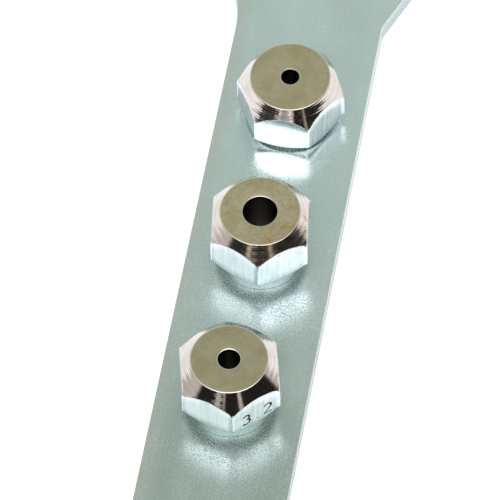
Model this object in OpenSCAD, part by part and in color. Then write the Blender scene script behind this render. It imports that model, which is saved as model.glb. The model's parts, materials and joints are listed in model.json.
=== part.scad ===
// Plier-type hand riveter lying on its side, with its flat nosepiece spanner hung on the handle bail.
// Three spare nosepieces are screwed into threaded holes along the spanner's shank.
// Origin: the mouth of the fitted nosepiece, on the nose axis. +X leaves the nose, the handles run
// towards -Y, +Z is up. The lever swings in the XY plane. Millimetres.

/* [Nosepieces] */
// Width of the nosepiece hexagon across its flats
hex_af = 10; // [9:0.5:12]
// Nominal diameter of the nosepiece thread
thread_d = 8; // [7:0.5:8]
// Length of the nosepiece thread below its collar
thread_len = 4.2; // [3.5:0.1:5]
// Diameter of the plain collar under the hexagon
collar_d = 9; // [8.5:0.1:9]
// Diameter of the tail that opens the jaws
tail_d = 5.4; // [4.8:0.1:6]
// Length of that tail
tail_len = 1.1; // [0.8:0.1:1.2]
// Bore for 2.4 mm rivets
bore_24 = 1.9; // [1.7:0.1:2.1]
// Bore for 3.2 mm rivets
bore_32 = 2.3; // [2.1:0.1:2.5]
// Bore for 4.0 mm rivets
bore_40 = 2.9; // [2.6:0.1:3.1]
// Bore for 4.8 mm rivets
bore_48 = 3.6; // [3.3:0.1:3.8]

/* [Spanner] */
// Thickness of the spanner's steel sheet
plate_t = 2.5; // [2:0.1:3]
// Width of the shank
shank_w = 15.64; // [14:0.1:18]
// Distance from one spare nosepiece to the next
spare_pitch = 18.1; // [15:0.1:22]
// Distance from the hang hole to the nearest nosepiece
hole_to_spare = 29; // [24:1:40]
// Distance from the last nosepiece to the middle of the head
spare_to_head = 26.1; // [24:0.5:34]
// Diameter of the head
head_d = 25; // [22:0.5:30]
// Width of the jaw, a loose fit over the nosepiece hexagon
jaw_gap = 0.1; // [0.05:0.05:0.3]
// Angle between the jaw and the shank
jaw_offset = 15; // [0:1:22]
// Angle at which the neck widens into the head
neck_angle = 22.8; // [18:0.2:28]
// Diameter of the hang hole
hang_hole_d = 6; // [5:0.5:8]

/* [Head] */
// Outer diameter of the barrel, and thickness of the whole tool
barrel_d = 26; // [24:0.5:30]
// Wall of the barrel
barrel_wall = 2.2; // [1.8:0.1:2.4]
// Wall at the nose that holds the nosepiece thread
nose_wall = 4.4; // [4.3:0.1:6]
// Distance of the lever pivot below the nose axis
pivot_drop = 22; // [21:0.5:24]
// Diameter of the pivot pin
pivot_d = 6; // [5:0.5:7]
// Length of the rear cap's rim
cap_len = 4; // [3:0.5:6]

/* [Jaws] */
// Half angle of the jaw cone
jaw_angle = 10; // [8:0.5:12]
// Length of the jaws
jaw_len = 13; // [11:0.5:14]
// Distance that the jaws creep forward in the jaw case
jaw_creep = 2.5; // [2:0.1:3]
// Outer diameter of the jaw case
case_d = 16; // [15:0.5:16.5]
// Diameter of the pull sleeve's flanges
flange_d = 20.6; // [19:0.2:21]

/* [Handles] */
// Swing of the lever from open to closed
lever_swing = 27; // [20:1:30]
// Distance between the handles' middle lines when closed
handle_gap = 24; // [23:0.5:30]
// Depth of the pressed steel channels
channel_depth = 13; // [11:0.5:15]
// Thickness of the channel sheet
sheet_t = 2; // [1.5:0.1:2.5]
// Distance from the nose axis to the end of the fixed handle
handle_end = 185; // [170:1:210]
// Thickness of the vinyl grips, front to back
grip_w = 21; // [18:0.5:22]
// Length of the grips
grip_len = 98; // [85:1:105]
// Diameter of the bail wire
bail_wire = 2.5; // [2:0.1:3]

/* [Hidden] */
$fn = 96;

// Clearances: a thread or a hinge fit, a sliding gap, and a gap between pieces that only pass
fit = 0.05;
slide = 0.2;
pass = 0.5;

// Nosepieces: [bore, collar height, hexagon height, cone height, face radius, turn in the spanner]
piece_24 = [bore_24, 0.5, 3.8, 2.4, 4.25, 59.4];
piece_48 = [bore_48, 2.1, 4.1, 2.0, 4.2, 37.7];
piece_32 = [bore_32, 2.3, 3.7, 2.1, 4.0, 43.9];
piece_40 = [bore_40, 0.5, 3.2, 2.2, 4.2, 30];
function head_height(p) = p[2] + p[3];

// Nose and barrel along X
half_t = barrel_d / 2;
block_half = half_t - 0.4;
bore_r = half_t - barrel_wall;
seat_x = -head_height(piece_40) - piece_40[1];
cavity_x = seat_x - nose_wall;
case_r = case_d / 2;
cavity_r = case_r + 0.6;
snout_r = 7.5;
shoulder_x = -16;
step_x = -19;

// Jaw train along X, at rest with the lever open
case_front = cavity_x - pass;
case_mouth = tail_d / 2 + 0.6;
jaw_front = seat_x - fit - thread_len - tail_len - slide;
jaw_rear = jaw_front - jaw_len;
jaw_split = 0.15;
case_bore = case_mouth + (case_front - jaw_rear + slide) * tan(jaw_angle) + 0.27;
pusher_r = case_bore - 1.2;
pusher_head = 2.5;
pusher_front = jaw_rear - slide;
spigot_front = pusher_front - pusher_head - 0.9;
case_rear = spigot_front - 4;
nut_h = 3.3;
nut_r = case_r + 0.6;
nut_rear = case_rear - 0.3 - nut_h;
sleeve_front = nut_rear - 0.4;
flange_t = 3;
knuckle_r = 4;
groove_w = 2 * knuckle_r + 2 * slide;
groove_x = sleeve_front - flange_t - groove_w / 2;
groove_core = 6.5;
sleeve_rear_flange = groove_x - groove_w / 2 - flange_t;
sleeve_bore = pusher_r;
pusher_seat = sleeve_front - 6;
pusher_tail = pusher_seat + 4;
tube_r = 4;
tube_bore = 2.6;
stem_r = 3.2;
stem_bore = 1.9;

// Lever: the knuckle swings evenly to both sides of the line through the pivot
knuckle_rise = 0.6;
arm = pivot_drop + knuckle_rise;
pivot_x = groove_x - arm * sin(lever_swing / 2);
pivot_y = -pivot_drop;
stroke = 2 * arm * sin(lever_swing / 2);
prong_t = 2.5;
prong_in = groove_core + 0.4;
lever_half = prong_in + prong_t;
neck_half = 2.2;
neck_len = 8.5;
boss_r = 9;
cheek_gap = 0.3;
cheek_r = boss_r + 2;
recess = 1.2;

clip_t = 0.5;
clip_bite = 0.6;
clip_z = block_half - recess + 0.1;
pin_head_r = pivot_d / 2 + 2.3;

// Springs
return_wire = 1.6;
return_r = 8.5;
return_turns = 6;
spring_seat = sleeve_rear_flange - stroke - return_wire * (return_turns + 1) - 2.2;
barrel_end = spring_seat - 4;
tube_end = barrel_end;
pusher_wire = 0.9;
pusher_turns = 7;

// Handles
fixed_x = pivot_x + handle_gap;
stem_y = -34;
stem_half = channel_depth / 2 + 1.2;
web_y = stem_y + 7;
tongue_len = 30;
tongue_half = lever_half - sheet_t - 0.1;
rivet_r = 2.5;
rivet_head_r = 4.2;
rivet_head_t = 1.5;
rivet_y = [stem_y - 8, stem_y - 24];
depth = channel_depth / 2;
bail_inset = 6;
bail_y = bail_inset - handle_end;
grip_half = half_t;
grip_guard = 2.5;
grip_guard_len = 5;
grip_end_gap = 18;
lever_len = handle_end - pivot_drop;
lip_len = 18;
lip_half = 7;

// Bail: a wire U, its ends turned in through the fixed handle
wire_r = bail_wire / 2;
bail_bend = 2;
bail_half = lever_half + 2.2;
bail_len = handle_gap + depth + wire_r + 2.75;
bail_rest = -75;
wire_x = fixed_x + bail_len * cos(bail_rest);
wire_y = bail_y + bail_len * sin(bail_rest);

// Spanner, turned about the bail's cross wire
spanner_rest = -30;
plate_gap = 0.35;
plate_top = wire_r - bail_half + plate_gap + plate_t;
spare_y = [for (i = [0 : 2]) hole_to_spare + i * spare_pitch];
head_y = spare_y[2] + spare_to_head;
flank_x = head_d / 2 * cos(neck_angle);
flank_y = head_y - head_d / 2 * sin(neck_angle);
neck_y = flank_y - (flank_x - shank_w / 2) / tan(neck_angle);
neck_left_fillet = 14;
neck_right_fillet = 2.5;

// Flat bar between two circles, with its sides tangent to both
module bar2d(a, ra, b, rb) {
    d = norm(b - a);
    dir = atan2(b[1] - a[1], b[0] - a[0]);
    lean = acos((ra - rb) / d);
    translate(a) circle(ra);
    translate(b) circle(rb);
    polygon([for (k = [[a, ra, 1], [b, rb, 1], [b, rb, -1], [a, ra, -1]])
        k[0] + k[1] * [cos(dir + k[2] * lean), sin(dir + k[2] * lean)]]);
}

// Rectangle with round corners, centred
module round_rect(w, h, r) {
    square([w - 2 * r, h], center = true);
    square([w, h - 2 * r], center = true);
    for (x = [-1, 1], y = [-1, 1]) translate([x * (w / 2 - r), y * (h / 2 - r)]) circle(r);
}

// Solid of revolution about the X axis from points [x, radius]
module turned(points) {
    rotate([0, 90, 0]) rotate([0, 0, 90]) rotate_extrude() polygon([for (p = points) [p[1], p[0]]]);
}

// Cylinder along X from x0 to x1
module rod(x0, x1, r) {
    translate([min(x0, x1), 0, 0]) rotate([0, 90, 0]) cylinder(h = abs(x1 - x0), r = r);
}

// Closed coil spring along X as a stack of rings
module coil_spring(x0, x1, r, wire, turns) {
    step = (x1 - x0 - wire) / (turns - 1);
    for (i = [0 : turns - 1])
        translate([x0 + wire / 2 + i * step, 0, 0]) rotate([0, 90, 0])
            rotate_extrude() translate([r, 0]) circle(wire / 2, $fn = 24);
}

// Nosepiece along +Z with the underside of its collar at z = 0
module nosepiece(p) {
    top = p[1] + head_height(p);
    corner_r = hex_af / sqrt(3);
    difference() {
        union() {
            intersection() {
                translate([0, 0, p[1]]) cylinder(h = head_height(p), r = corner_r, $fn = 6);
                rotate_extrude() polygon([[0, 0], [corner_r, 0], [corner_r, top - p[3]], [p[4], top], [0, top]]);
            }
            cylinder(h = p[1] + 0.1, d = collar_d);
            translate([0, 0, -thread_len]) cylinder(h = thread_len + 0.1, r = thread_d / 2 - fit);
            translate([0, 0, -thread_len - tail_len]) cylinder(h = tail_len + 0.1, d = tail_d);
        }
        translate([0, 0, -thread_len - tail_len - 1]) cylinder(h = top + thread_len + tail_len + 2, d = p[0]);
    }
}

// Outline of the head's flat sides below the nose axis: the stem, the pivot boss and the web between them
module head_outline() difference() {
    union() {
        bar2d([fixed_x - 2.5, 0], 12, [fixed_x, stem_y + 8], stem_half);
        translate([fixed_x - stem_half, stem_y]) square([2 * stem_half, 8]);
        bar2d([pivot_x - 2, 0], cheek_r + 1, [pivot_x, pivot_y], cheek_r);
        translate([pivot_x, web_y]) square([fixed_x - pivot_x, -web_y]);
    }
    translate([pivot_x - 40, 0]) square([80, 20]);
}

module head() color("dimgray") {
    slot_half = lever_half + cheek_gap;
    slot_r = boss_r + 0.6;
    slot_y = -13.5;
    open = 40;
    difference() {
        union() {
            turned([[seat_x - fit, 0], [seat_x - fit, snout_r - 0.5], [seat_x - fit - 0.5, snout_r],
                    [seat_x - 2.6, snout_r + 0.3], [shoulder_x + 1, half_t - 0.5], [shoulder_x, half_t],
                    [barrel_end, half_t], [barrel_end, 0]]);
            translate([0, 0, -block_half]) linear_extrude(2 * block_half) head_outline();
            translate([fixed_x, stem_y + 5 - (tongue_len + 5) / 2, 0])
                cube([channel_depth - 2 * sheet_t - 0.2, tongue_len + 5, 2 * tongue_half], center = true);
        }
        rod(seat_x + 1, cavity_x - 1, thread_d / 2);
        rod(cavity_x, step_x, cavity_r);
        rod(step_x, barrel_end - 1, bore_r);
        translate([pivot_x - open, pivot_y - open, -slot_half])
            cube([open + slot_r, open - pivot_y + slot_y, 2 * slot_half]);
        translate([pivot_x - slot_r, slot_y - 0.5, -slot_half]) cube([2 * slot_r, 0.5 - slot_y, 2 * slot_half]);
        translate([pivot_x, pivot_y, -half_t - 1]) cylinder(h = 2 * half_t + 2, d = pivot_d);
        for (y = rivet_y) translate([fixed_x, y, -half_t]) cylinder(h = 2 * half_t, r = rivet_r);
        for (s = [-1, 1]) translate([pivot_x, pivot_y, s * block_half])
            cylinder(h = 2 * recess, r = pin_head_r + 0.3, center = true);
    }
}

// Channel along -Y from y0 to y1: its back faces +X when side is 1, -X when side is -1
module channel(y0, y1, side) {
    difference() {
        translate([-depth, y1, -lever_half]) cube([channel_depth, y0 - y1, 2 * lever_half]);
        translate([-depth - side * sheet_t, y1 - 1, sheet_t - lever_half])
            cube([channel_depth, y0 - y1 + 2, 2 * (lever_half - sheet_t)]);
    }
}

module fixed_handle() color("silver") translate([fixed_x, 0, 0]) difference() {
    channel(stem_y - 0.3, -handle_end, 1);
    for (y = rivet_y) translate([0, y, -half_t]) cylinder(h = 2 * half_t, r = rivet_r);
    translate([0, bail_y, -half_t]) cylinder(h = 2 * half_t, r = wire_r + 2 * fit);
}

module handle_rivets() color("gainsboro") for (y = rivet_y) translate([fixed_x, y, 0]) {
    cylinder(h = 2 * lever_half + 1, r = rivet_r - fit, center = true);
    for (s = [0, 1]) mirror([0, 0, s]) translate([0, 0, lever_half]) rotate_extrude()
        polygon([[0, 0], [rivet_head_r, 0], [rivet_head_r - 0.3, rivet_head_t * 0.6],
                 [rivet_head_r - 1.4, rivet_head_t], [0, rivet_head_t]]);
}

// Vinyl sleeve along -Y from y = 0, with a finger guard at its top
module grip_sleeve(length) {
    rotate([90, 0, 0]) difference() {
        union() {
            linear_extrude(length) round_rect(grip_w, 2 * grip_half, 6);
            linear_extrude(grip_guard_len) round_rect(grip_w + 2 * grip_guard, 2 * grip_half, 6);
        }
        translate([0, 0, -1]) linear_extrude(length + 2)
            square([channel_depth + 2 * fit, 2 * (lever_half + fit)], center = true);
    }
}

module fixed_grip() color("dimgray")
    translate([fixed_x, grip_end_gap - handle_end + grip_len, 0]) grip_sleeve(grip_len);

// The lever's own frame: pivot at the origin, handle along -Y, turned to its open rest position
module lever_place() translate([pivot_x, pivot_y, 0]) rotate([0, 0, -lever_swing]) children();

module lever_cheek2d() {
    lean = lever_swing / 2 + 90;
    knuckle = arm * [cos(lean), sin(lean)];
    neck = (arm - neck_len) * [cos(lean), sin(lean)];
    circle(boss_r);
    bar2d([0, 0], boss_r, neck, neck_half);
    bar2d(neck, neck_half, knuckle, neck_half - 0.001);
    translate(knuckle) circle(knuckle_r);
    translate([-depth, -14]) square([channel_depth, 14]);
}

module lever() color("silver") lever_place() difference() {
    union() {
        for (s = [0, 1]) mirror([0, 0, s]) translate([0, 0, prong_in]) linear_extrude(prong_t) lever_cheek2d();
        channel(-12, lip_len - lever_len, -1);
        translate([-depth, -lever_len, -lip_half]) cube([sheet_t, lip_len + 1, 2 * lip_half]);
        translate([-depth - 2, -lever_len, -lip_half]) cube([3, 3, 2 * lip_half]);
    }
    translate([0, 0, -half_t]) cylinder(h = 2 * half_t, r = pivot_d / 2);
}

module lever_grip() color("dimgray")
    lever_place() translate([0, grip_len + lip_len + 7 - lever_len, 0]) grip_sleeve(grip_len);

// The pin's head and the clip's groove both lie in the recesses of the head's cheeks
module pivot_pin() color("gainsboro") translate([pivot_x, pivot_y, 0]) difference() {
    union() {
        translate([0, 0, fit - block_half]) cylinder(h = 2 * (block_half - fit), r = pivot_d / 2 - fit);
        translate([0, 0, fit - block_half]) cylinder(h = recess - 2 * fit, r = pin_head_r);
    }
    translate([0, 0, clip_z]) difference() {
        cylinder(h = clip_t + fit, r = pivot_d);
        translate([0, 0, -1]) cylinder(h = 2, r = pivot_d / 2 - clip_bite);
    }
}

module pivot_clip() color("gray") translate([pivot_x, pivot_y, clip_z + fit / 2]) difference() {
    cylinder(h = clip_t, r = pin_head_r - 0.2);
    translate([0, 0, -1]) cylinder(h = 2, r = pivot_d / 2 - clip_bite + fit / 2);
    translate([-1.6, 0, -1]) cube([3.2, pivot_d, 2]);
}

module nosepiece_40() color("lightgray")
    translate([seat_x, 0, 0]) rotate([0, 90, 0]) rotate([0, 0, piece_40[5]]) nosepiece(piece_40);

// Radius of the jaw case's cone at x
function cone_r(x) = case_mouth + (case_front - x) * tan(jaw_angle);

module jaw_case() color("slategray") turned([
    [case_front, case_mouth], [case_front, case_r - 1], [case_front - 1, case_r], [case_rear, case_r],
    [case_rear, case_bore], [jaw_rear - slide, case_bore], [jaw_rear - slide, cone_r(jaw_rear - slide)]]);

// Half of the jaw cone above z = 0, where it stands with the jaws fully closed
module closed_jaw() {
    front = jaw_front + jaw_creep * cos(jaw_angle);
    rear = front - jaw_len;
    difference() {
        turned([[front, 0], [front, cone_r(front) - slide], [rear, cone_r(rear) - slide], [rear, 0]]);
        translate([rear - 1, -case_d, -2 * case_d + jaw_split]) cube([jaw_len + 2, 2 * case_d, 2 * case_d]);
        rod(rear - 1, front + 1, 1);
    }
}

module open_jaw() translate(jaw_creep * [-cos(jaw_angle), 0, sin(jaw_angle)]) closed_jaw();

module jaw_upper() color("darkgray") open_jaw();
module jaw_lower() color("darkgray") mirror([0, 0, 1]) open_jaw();

module jaw_pusher() color("gainsboro") turned([
    [pusher_front, stem_bore], [pusher_front, pusher_r - 0.6], [pusher_front - 0.6, pusher_r],
    [pusher_front - pusher_head, pusher_r], [pusher_front - pusher_head, stem_r],
    [pusher_tail, stem_r], [pusher_tail, stem_bore]]);

module pusher_spring() color("lightsteelblue") coil_spring(
    pusher_seat + fit, pusher_front - pusher_head - fit, (stem_r + sleeve_bore) / 2, pusher_wire, pusher_turns);

module pull_sleeve() color("slategray") turned([
    [spigot_front, sleeve_bore], [spigot_front, case_bore - fit], [sleeve_front, case_bore - fit],
    [sleeve_front, flange_d / 2], [groove_x + groove_w / 2, flange_d / 2],
    [groove_x + groove_w / 2, groove_core], [groove_x - groove_w / 2, groove_core],
    [groove_x - groove_w / 2, flange_d / 2], [sleeve_rear_flange, flange_d / 2],
    [sleeve_rear_flange, tube_r], [tube_end, tube_r], [tube_end, tube_bore],
    [pusher_seat, tube_bore], [pusher_seat, sleeve_bore]]);

module lock_nut() color("silver") difference() {
    rotate([0, 90, 0]) translate([0, 0, nut_rear]) cylinder(h = nut_h, r = nut_r, $fn = 6);
    rod(nut_rear - 1, case_rear + 1, case_bore);
}

module return_spring() color("lightsteelblue") coil_spring(
    spring_seat + fit, sleeve_rear_flange - fit, return_r, return_wire, return_turns);

module rear_cap() color("black") turned([
    [spring_seat, tube_r + slide], [spring_seat, bore_r - fit], [barrel_end - fit, bore_r - fit],
    [barrel_end - fit, half_t - 0.6], [barrel_end - cap_len + 1, half_t - 0.6],
    [barrel_end - cap_len, half_t - 1.6], [barrel_end - cap_len, tube_r + slide]]);

// Quarter bend of wire in the XZ plane: leaves +Z at the origin and ends along +X
module wire_bend() translate([bail_bend, 0, 0]) rotate([90, 0, 0]) rotate([0, 0, 90])
    rotate_extrude(angle = 90) translate([bail_bend, 0]) circle(wire_r, $fn = 32);

// Bail in its own frame: hinge axis on Z at the origin, cross wire at x = bail_len
module bail_wire_shape() {
    straight = bail_half - bail_bend;
    inner = tongue_half - 0.6;
    translate([bail_len, 0, -straight]) cylinder(h = 2 * straight, r = wire_r);
    for (s = [0, 1]) mirror([0, 0, s]) {
        translate([0, 0, inner]) cylinder(h = straight - inner, r = wire_r);
        translate([0, 0, straight]) wire_bend();
        translate([bail_bend, 0, bail_half]) rotate([0, 90, 0]) cylinder(h = bail_len - 2 * bail_bend, r = wire_r);
        translate([bail_len, 0, straight]) mirror([1, 0, 0]) wire_bend();
    }
}

module bail() color("silver") translate([fixed_x, bail_y, 0]) rotate([0, 0, bail_rest]) bail_wire_shape();

// The spanner's own frame: hang hole at the origin, shank along +Y, top face at z = 0
module spanner_place() translate([wire_x, wire_y, plate_top]) rotate([0, 0, spanner_rest - 90]) children();

// Points of the fillet between the shank's side and the neck's flank. side is -1 on the left, 1 on the right
function neck_arc(side, r, steps = 12) = let (run = r * tan(neck_angle / 2))
    [for (i = [0 : steps]) let (a = i / steps * neck_angle)
        [side * (shank_w / 2 + r - r * cos(a)), neck_y - run + r * sin(a)]];
function reversed(points) = [for (i = [len(points) - 1 : -1 : 0]) points[i]];

module spanner2d() {
    difference() {
        union() {
            circle(shank_w / 2);
            polygon(concat([[-shank_w / 2, 0], [shank_w / 2, 0]], neck_arc(1, neck_right_fillet),
                           [[flank_x, flank_y], [0, head_y], [-flank_x, flank_y]],
                           reversed(neck_arc(-1, neck_left_fillet))));
            translate([0, head_y]) circle(head_d / 2);
        }
        circle(hang_hole_d / 2);
        for (y = spare_y) translate([0, y]) circle(thread_d / 2);
        translate([0, head_y]) rotate(-jaw_offset) {
            jaw = hex_af + 2 * jaw_gap;
            translate([-jaw / 2, -1]) square([jaw, head_d]);
            translate([0, -1]) circle(jaw / 2);
        }
    }
}

module spanner() color("lightcyan") spanner_place()
    translate([0, 0, -plate_t]) linear_extrude(plate_t) spanner2d();

// Spare nosepiece i places along the shank, counted from the hang hole
module spare(i, p) spanner_place() translate([0, spare_y[i], fit]) rotate([0, 0, p[5]]) nosepiece(p);

module nosepiece_32() color("lightgray") spare(0, piece_32);
module nosepiece_48() color("lightgray") spare(1, piece_48);
module nosepiece_24() color("lightgray") spare(2, piece_24);

head();
fixed_handle();
handle_rivets();
fixed_grip();
lever();
lever_grip();
pivot_pin();
pivot_clip();
nosepiece_40();
jaw_case();
jaw_upper();
jaw_lower();
jaw_pusher();
pusher_spring();
pull_sleeve();
lock_nut();
return_spring();
rear_cap();
bail();
spanner();
nosepiece_24();
nosepiece_48();
nosepiece_32();
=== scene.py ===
import json
import math

import bmesh
import bpy
import numpy as np
from mathutils import Matrix, Vector


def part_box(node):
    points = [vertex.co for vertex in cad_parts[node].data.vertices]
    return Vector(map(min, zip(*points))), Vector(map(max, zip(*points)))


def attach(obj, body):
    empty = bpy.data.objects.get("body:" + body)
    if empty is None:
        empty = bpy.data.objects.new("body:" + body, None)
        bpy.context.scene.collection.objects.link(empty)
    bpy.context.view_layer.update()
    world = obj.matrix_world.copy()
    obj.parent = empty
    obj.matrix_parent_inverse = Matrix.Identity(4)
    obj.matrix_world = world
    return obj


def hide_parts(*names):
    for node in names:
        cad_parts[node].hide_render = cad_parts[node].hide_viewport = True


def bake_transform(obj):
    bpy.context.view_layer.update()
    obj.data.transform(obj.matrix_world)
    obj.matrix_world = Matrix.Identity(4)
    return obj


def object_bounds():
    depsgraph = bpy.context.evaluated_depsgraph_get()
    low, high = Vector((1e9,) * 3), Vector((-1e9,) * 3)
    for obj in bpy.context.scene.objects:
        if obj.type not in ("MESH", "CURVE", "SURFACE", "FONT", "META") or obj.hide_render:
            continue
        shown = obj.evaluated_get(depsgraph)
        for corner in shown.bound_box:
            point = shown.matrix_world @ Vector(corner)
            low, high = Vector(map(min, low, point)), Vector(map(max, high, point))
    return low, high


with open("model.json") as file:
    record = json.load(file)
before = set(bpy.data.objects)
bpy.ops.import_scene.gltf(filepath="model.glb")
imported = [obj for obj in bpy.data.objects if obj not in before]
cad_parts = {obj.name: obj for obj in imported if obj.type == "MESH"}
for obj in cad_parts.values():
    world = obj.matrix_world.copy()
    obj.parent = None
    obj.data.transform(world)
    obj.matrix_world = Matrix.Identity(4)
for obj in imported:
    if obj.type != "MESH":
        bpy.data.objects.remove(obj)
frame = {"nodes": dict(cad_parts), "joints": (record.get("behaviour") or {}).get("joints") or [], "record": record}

cad_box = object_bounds()

# The studio. The tool lies on a white table under a big overhead soft box, with a bright flag at
# each side. The camera looks down the spanner's shank at its middle threaded hole.
mm = 0.001
joints = {joint["name"]: joint for joint in frame["joints"]}


def joint_point(name):
    return Vector(joints[name]["pos_m"])


def placed(name, data, place=None):
    """A new object of that data, in the scene."""
    made = bpy.data.objects.new(name, data)
    bpy.context.collection.objects.link(made)
    if place is not None:
        made.matrix_world = place
    return made


hang_hole = joint_point("spanner_swing")
plate_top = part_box("spanner")[1].z
middle_hole = joint_point("nosepiece_48_turn")
shank_axis = (joint_point("nosepiece_24_turn") - middle_hole).normalized()
shank_side = shank_axis.cross(Vector((0, 0, 1)))
spanner_place = Matrix((shank_side, shank_axis, (0, 0, 1))).transposed().to_4x4()
spanner_place.translation = (hang_hole.x, hang_hole.y, plate_top)

# In the spanner's own frame: azimuth 0 is on the hang hole's side and grows to the right, and aim is
# how far from the middle hole the camera points.
camera_azimuth, camera_elevation, camera_roll = math.radians(11.9), math.radians(57.89), math.radians(-2.07)
camera_distance, camera_lens, sensor_width = 558.2 * mm, 381.7, 36
aim = Vector((-1.25, 0.17, 0)) * mm
back = Vector((math.sin(camera_azimuth) * math.cos(camera_elevation),
               -math.cos(camera_azimuth) * math.cos(camera_elevation), math.sin(camera_elevation)))
level = Vector((math.cos(camera_azimuth), math.sin(camera_azimuth), 0))
upward = back.cross(level)
right = math.cos(camera_roll) * level + math.sin(camera_roll) * upward
up = math.cos(camera_roll) * upward - math.sin(camera_roll) * level
view_place = Matrix((right, up, back)).transposed().to_4x4()
along_shank = (middle_hole - spanner_place.translation).length
view_place.translation = along_shank * Vector((0, 1, 0)) + aim + back * camera_distance
camera = placed("camera", bpy.data.cameras.new("camera"), spanner_place @ view_place)
camera.data.sensor_width, camera.data.lens = sensor_width, camera_lens
camera.data.clip_start, camera.data.clip_end = 0.05, 20
bpy.context.scene.camera = camera
bpy.context.scene.view_settings.view_transform = "Standard"


class Wire:
    """A socket's value in a node tree. Arithmetic on it adds Math nodes."""

    def __init__(self, tree, socket=None):
        self.tree, self.socket = tree, socket

    def node(self, kind, settings=None, sockets=None, output=0):
        made = self.tree.nodes.new(kind)
        for name, value in (settings or {}).items():
            setattr(made, name, value)
        for name, value in (sockets or {}).items():
            if isinstance(value, Wire):
                self.tree.links.new(value.socket, made.inputs[name])
            else:
                made.inputs[name].default_value = value
        return Wire(self.tree, made.outputs[output])

    def math(self, operation, *others):
        return self.node("ShaderNodeMath", {"operation": operation}, dict(enumerate((self,) + others)))

    def __add__(self, other):
        return self.math("ADD", other)

    def __sub__(self, other):
        return self.math("SUBTRACT", other)

    def __rsub__(self, other):
        return self * -1 + other

    def __mul__(self, other):
        return self.math("MULTIPLY", other)

    __radd__ = __add__
    __rmul__ = __mul__

    def rise(self, low, high):
        """0 below low, 1 above high, eased between; falling where high is the smaller."""
        return self.node("ShaderNodeMapRange", {"interpolation_type": "SMOOTHSTEP"},
                         {"Value": self, "From Min": low, "From Max": high})

    def band(self, low, high, soft):
        """1 between low and high, eased over soft on both sides."""
        return self.rise(low - soft, low + soft) * self.rise(high + soft, high - soft)

    def near(self, place, width):
        """1 at that value, 0 further from it than width."""
        return (self - place).math("ABSOLUTE").rise(width, width * 0.4)

    def dot(self, axis):
        return self.node("ShaderNodeVectorMath", {"operation": "DOT_PRODUCT"},
                         {0: self, 1: tuple(axis)}, output=1)

    def mix(self, first, second):
        """Colour first where this value is 0, second where it is 1."""
        def rgba(colour):
            return colour if isinstance(colour, Wire) else (*colour, 1)
        return self.node("ShaderNodeMix", {"data_type": "RGBA"},
                         {"Factor": self, 6: rgba(first), 7: rgba(second)}, output=2)


toward = (spanner_place.to_3x3() @ Vector((back.x, back.y, 0))).normalized()
across = toward.cross(Vector((0, 0, -1)))
world = bpy.data.worlds.new("studio")
bpy.context.scene.world = world
world.use_nodes = True
world.node_tree.nodes.clear()
# Directions in the studio: ahead is towards the camera, aside to its right, height straight up. The
# camera looks out of a dark gap between the flags, with thin slots of light in it.
sky = Wire(world.node_tree).node("ShaderNodeTexCoord")
ahead, aside, height = sky.dot(toward), sky.dot(across), sky.dot((0, 0, 1))
flank = aside.math("ABSOLUTE")
soft_box = ahead.rise(-0.15, 0.5) * height.rise(0.5, 0.66)
flags = flank.rise(0.45, 0.75) * height.rise(0.66, 0.5)
gap = (ahead + aside * 0.2).rise(0.12, 0.3) * height.rise(0.62, 0.5)
low = height.rise(0.27, 0.17)
low_slots = aside.near(-0.19, 0.11) * 0.6 + aside.near(0.03, 0.05) * 1.5 + aside.near(0.42, 0.05) * 0.45
high_slots = aside.near(-0.40, 0.09) * 0.75 + aside.near(0.30, 0.08) * 0.75
far_wall, soft_box_light, flag_light = (0.56, 0.64, 0.61), (3.0, 3.0, 3.1), (0.71, 0.665, 0.62)
gap_dark, slot_light = (0.02, 0.02, 0.02), (0.95, 0.86, 0.7)
shade = flags.mix(soft_box.mix(far_wall, soft_box_light), flag_light)
shade = gap.mix(shade, gap_dark)
shade = (gap * (low * low_slots + (1 - low) * high_slots)).mix(shade, slot_light)
lit = sky.node("ShaderNodeBackground", sockets={"Color": shade, "Strength": 1.0})
world_out = world.node_tree.nodes.new("ShaderNodeOutputWorld")
world.node_tree.links.new(lit.socket, world_out.inputs["Surface"])

table_mesh = bpy.data.meshes.new("table")
table_half, table_z = 2.5, cad_box[0].z - 0.05 * mm
table_corners = [(x * table_half, y * table_half, table_z) for x, y in ((-1, -1), (1, -1), (1, 1), (-1, 1))]
table_mesh.from_pydata(table_corners, [], [(0, 1, 2, 3)])
table = placed("table", table_mesh)
table_finish = bpy.data.materials.new("table_white")
table_finish.use_nodes = True
table_shader = table_finish.node_tree.nodes["Principled BSDF"]
for socket, value in (("Base Color", (0.3, 0.3, 0.3, 1)), ("Roughness", 0.8),
                      ("Emission Color", (1, 1, 1, 1)), ("Emission Strength", 0.9)):
    table_shader.inputs[socket].default_value = value
table.data.materials.append(table_finish)

# The spanner is stamped from 2.5 mm steel and zinc plated with a blue-green passivation. The punch
# leaves a soft rolled edge on top and a bright sheared side; the four holes are drilled, three tapped.
shank_width, plate_thickness, edge_rounding = 15.64 * mm, 2.5 * mm, 0.14 * mm
spare_at = [(joint_point(name + "_turn") - hang_hole).to_2d().length
            for name in ("nosepiece_32", "nosepiece_48", "nosepiece_24")]
head_at, head_radius = spare_at[2] + 26.1 * mm, 12.5 * mm
jaw_width, jaw_turn, neck_angle = 10.2 * mm, math.radians(15), math.radians(22.8)
left_fillet, right_fillet = 14 * mm, 2.5 * mm


def arc(centre, radius, start, end, steps):
    """Points round a centre between two angles in degrees."""
    return [(centre[0] + radius * math.cos(math.radians(start + (end - start) * i / steps)),
             centre[1] + radius * math.sin(math.radians(start + (end - start) * i / steps)))
            for i in range(steps + 1)]


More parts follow.
